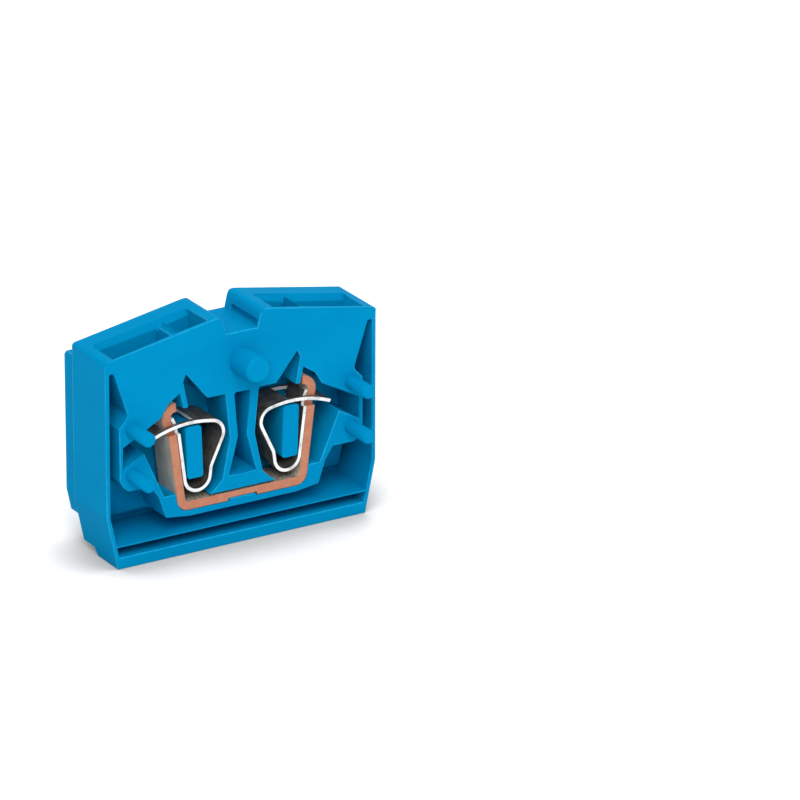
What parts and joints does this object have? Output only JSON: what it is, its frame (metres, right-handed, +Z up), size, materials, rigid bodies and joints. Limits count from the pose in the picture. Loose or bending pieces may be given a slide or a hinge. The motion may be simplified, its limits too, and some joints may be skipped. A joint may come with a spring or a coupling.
{
  "type": "spring clamp terminal block",
  "caption": "Slim open-sided terminal block with a bent current bar, spring clamps under roof-side wire funnels and pegs, sockets and a rim for stacking into a row.",
  "frame": {"origin": "middle of the body's length and thickness, on the plane of the bottom face", "axes": "+X along the wires, -Y out of the open side, +Z up from the bottom face"},
  "size_m": [0.0274, 0.0116, 0.0217],
  "materials": {
    "blue_polyamide": "moulded polyamide with a fine satin skin",
    "plated_copper": "copper strip, tin plated on its faces and bare on its sheared edges",
    "spring_steel": "rolled stainless strip with bright sheared edges"
  },
  "bodies": {
    "block": {"housing": "blue_polyamide", "current_bar": "plated_copper"},
    "left_spring": {"left_clamp_spring": "spring_steel"},
    "right_spring": {"right_clamp_spring": "spring_steel"}
  },
  "joints": [
    {"name": "left_clamp", "type": "hinge", "parent": "block", "child": "left_spring", "pos_m": [-0.00458, -0.00115, 0.00716], "axis": [0, -1, 0], "range_deg": [0, 7], "stiffness_Nm_per_rad": 0.5, "springref_deg": -6.88, "deforming": ["left_clamp_spring"]},
    {"name": "right_clamp", "type": "hinge", "parent": "block", "child": "right_spring", "pos_m": [0.00458, -0.00115, 0.00716], "axis": [0, 1, 0], "range_deg": [0, 7], "stiffness_Nm_per_rad": 0.5, "springref_deg": -6.88, "deforming": ["right_clamp_spring"]}
  ]
}
